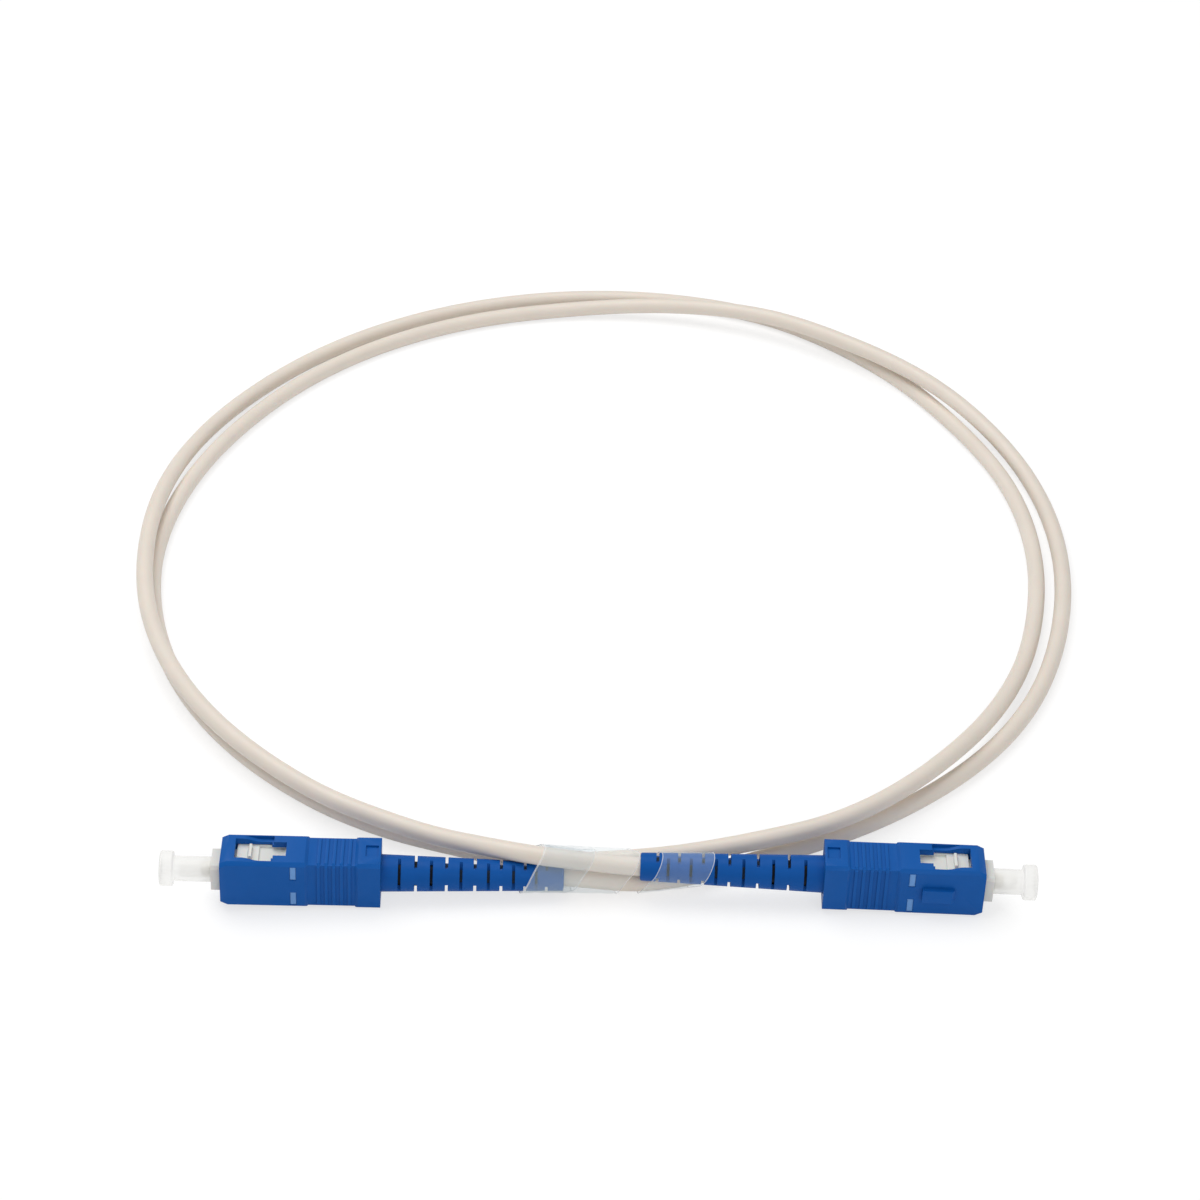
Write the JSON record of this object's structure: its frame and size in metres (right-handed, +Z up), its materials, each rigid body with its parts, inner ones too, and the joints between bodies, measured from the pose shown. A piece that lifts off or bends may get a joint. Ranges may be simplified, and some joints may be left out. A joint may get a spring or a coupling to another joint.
{
  "type": "fiber optic patch cord",
  "caption": "Simplex patch cord: white round cable coiled in a ring, with a push-pull plug, slotted boot and dust cap on each end, and clear tape round the boots.",
  "frame": {"origin": "middle of the two connectors in plan, on the surface they lie on", "axes": "+X from the left plug to the right plug, +Y from the plugs towards the cable ring, +Z up from the surface"},
  "size_m": [0.1692, 0.1919, 0.01],
  "materials": {
    "housing_blue": "fine moulded texture, satin",
    "boot_blue": "matte soft moulding",
    "frame_white": "smooth moulded",
    "ceramic": "polished white ceramic, opaque",
    "flange_metal": "machined",
    "spring_steel": "drawn wire",
    "stop_ring_metal": "plated, machined",
    "crimp_metal": "plated, crimped",
    "yarn": "loose fibres",
    "buffer_white": "smooth",
    "cap_clear": "translucent, satin",
    "jacket_white": "satin extruded jacket",
    "tape_clear": "clear thin film"
  },
  "bodies": {
    "cord": {"cable": "jacket_white", "tape_wrap_left": "tape_clear", "tape_wrap_right": "tape_clear", "plug_frame_left": "frame_white", "stop_ring_left": "stop_ring_metal", "crimp_sleeve_left": "crimp_metal", "aramid_yarn_left": "yarn", "boot_left": "boot_blue", "ferrule_spring_left": "spring_steel", "plug_frame_right": "frame_white", "stop_ring_right": "stop_ring_metal", "crimp_sleeve_right": "crimp_metal", "aramid_yarn_right": "yarn", "boot_right": "boot_blue", "ferrule_spring_right": "spring_steel"},
    "grip_left": {"outer_housing_left": "housing_blue"},
    "ferrule_left": {"ferrule_left": "ceramic", "ferrule_flange_left": "flange_metal", "buffered_fibre_left": "buffer_white"},
    "cap_left": {"dust_cap_left": "cap_clear"},
    "grip_right": {"outer_housing_right": "housing_blue"},
    "ferrule_right": {"ferrule_right": "ceramic", "ferrule_flange_right": "flange_metal", "buffered_fibre_right": "buffer_white"},
    "cap_right": {"dust_cap_right": "cap_clear"}
  },
  "joints": [
    {"name": "grip_slide_left", "type": "slide", "parent": "cord", "child": "grip_left", "axis": [-0.9989, -0.0166, 0.0436], "range_m": [-0.0015, 0]},
    {"name": "ferrule_spring_back_left", "type": "slide", "parent": "cord", "child": "ferrule_left", "axis": [-0.9989, -0.0166, 0.0436], "range_m": [-0.0015, 0], "stiffness_N_per_m": 1500, "springref_m": 0.004, "deforming": ["ferrule_spring_left"]},
    {"name": "cap_pull_left", "type": "slide", "parent": "ferrule_left", "child": "cap_left", "axis": [-0.9989, -0.0166, 0.0436], "range_m": [0, 0.015]},
    {"name": "grip_slide_right", "type": "slide", "parent": "cord", "child": "grip_right", "axis": [0.9991, -0.0323, -0.0262], "range_m": [-0.0015, 0]},
    {"name": "ferrule_spring_back_right", "type": "slide", "parent": "cord", "child": "ferrule_right", "axis": [0.9991, -0.0323, -0.0262], "range_m": [-0.0015, 0], "stiffness_N_per_m": 1500, "springref_m": 0.004, "deforming": ["ferrule_spring_right"]},
    {"name": "cap_pull_right", "type": "slide", "parent": "ferrule_right", "child": "cap_right", "axis": [0.9991, -0.0323, -0.0262], "range_m": [0, 0.015]}
  ]
}
